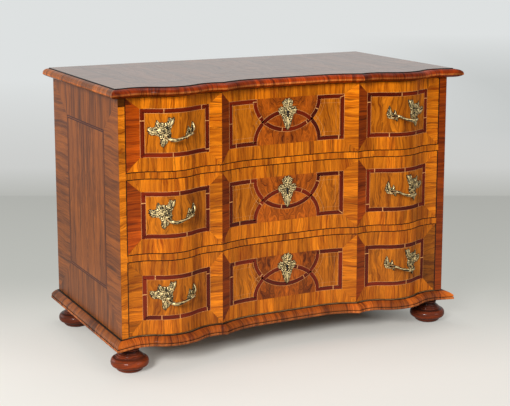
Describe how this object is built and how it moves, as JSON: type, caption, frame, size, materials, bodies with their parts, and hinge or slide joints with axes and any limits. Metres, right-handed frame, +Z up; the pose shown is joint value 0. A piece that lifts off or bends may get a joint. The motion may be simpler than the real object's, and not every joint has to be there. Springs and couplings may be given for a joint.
{
  "type": "chest of drawers",
  "caption": "Baroque chest of drawers with a serpentine inlaid front, mitred mouldings, cast brass pulls and key plates, on turned bun feet.",
  "frame": {"origin": "on the floor under the middle of the chest's bounding box: the mouldings' lips at the sides and the front, and the flush back", "axes": "+X to the right seen from the front, along the width; +Y from the front to the back; +Z up. The drawers open along -Y"},
  "size_m": [1.174, 0.63, 0.83],
  "materials": {
    "walnut_front": "polished",
    "walnut_case": "polished",
    "walnut_moulding": "polished",
    "walnut_dark": "polished",
    "pine": "matte",
    "brass": "aged",
    "iron": "aged"
  },
  "bodies": {
    "case": {"back_board_1": "pine", "back_board_2": "pine", "back_board_3": "pine", "bottom_board": "pine", "drawer_stops": "pine", "foot_back_left": "walnut_dark", "foot_back_right": "walnut_dark", "foot_front_left": "walnut_dark", "foot_front_right": "walnut_dark", "plinth_moulding_front": "walnut_moulding", "plinth_moulding_left": "walnut_moulding", "plinth_moulding_right": "walnut_moulding", "rail_lower": "walnut_front", "rail_upper": "walnut_front", "runner_lower_left": "pine", "runner_lower_right": "pine", "runner_upper_left": "pine", "runner_upper_right": "pine", "side_left": "walnut_case", "side_right": "walnut_case", "stile_left": "walnut_front", "stile_right": "walnut_front", "top_board": "walnut_case", "top_moulding_front": "walnut_moulding", "top_moulding_left": "walnut_moulding", "top_moulding_right": "walnut_moulding"},
    "bottom_drawer": {"bottom_drawer_back": "pine", "bottom_drawer_bottom": "pine", "bottom_drawer_front": "walnut_front", "bottom_drawer_key_plate": "brass", "bottom_drawer_left": "pine", "bottom_drawer_lock": "iron", "bottom_drawer_pull_left": "brass", "bottom_drawer_pull_right": "brass", "bottom_drawer_right": "pine", "bottom_drawer_screws": "iron"},
    "bottom_bolt": {"bottom_drawer_bolt": "iron"},
    "middle_drawer": {"middle_drawer_back": "pine", "middle_drawer_bottom": "pine", "middle_drawer_front": "walnut_front", "middle_drawer_key_plate": "brass", "middle_drawer_left": "pine", "middle_drawer_lock": "iron", "middle_drawer_pull_left": "brass", "middle_drawer_pull_right": "brass", "middle_drawer_right": "pine", "middle_drawer_screws": "iron"},
    "middle_bolt": {"middle_drawer_bolt": "iron"},
    "top_drawer": {"top_drawer_back": "pine", "top_drawer_bottom": "pine", "top_drawer_front": "walnut_front", "top_drawer_key_plate": "brass", "top_drawer_left": "pine", "top_drawer_lock": "iron", "top_drawer_pull_left": "brass", "top_drawer_pull_right": "brass", "top_drawer_right": "pine", "top_drawer_screws": "iron"},
    "top_bolt": {"top_drawer_bolt": "iron"}
  },
  "joints": [
    {"name": "bottom_drawer_slide", "type": "slide", "parent": "case", "child": "bottom_drawer", "axis": [0, -1, 0], "range_m": [0, 0.4]},
    {"name": "middle_drawer_slide", "type": "slide", "parent": "case", "child": "middle_drawer", "axis": [0, -1, 0], "range_m": [0, 0.4]},
    {"name": "top_drawer_slide", "type": "slide", "parent": "case", "child": "top_drawer", "axis": [0, -1, 0], "range_m": [0, 0.4]},
    {"name": "bottom_bolt_slide", "type": "slide", "parent": "bottom_drawer", "child": "bottom_bolt", "axis": [0, 0, 1], "range_m": [0, 0.009]},
    {"name": "middle_bolt_slide", "type": "slide", "parent": "middle_drawer", "child": "middle_bolt", "axis": [0, 0, 1], "range_m": [0, 0.009]},
    {"name": "top_bolt_slide", "type": "slide", "parent": "top_drawer", "child": "top_bolt", "axis": [0, 0, 1], "range_m": [0, 0.009]}
  ]
}
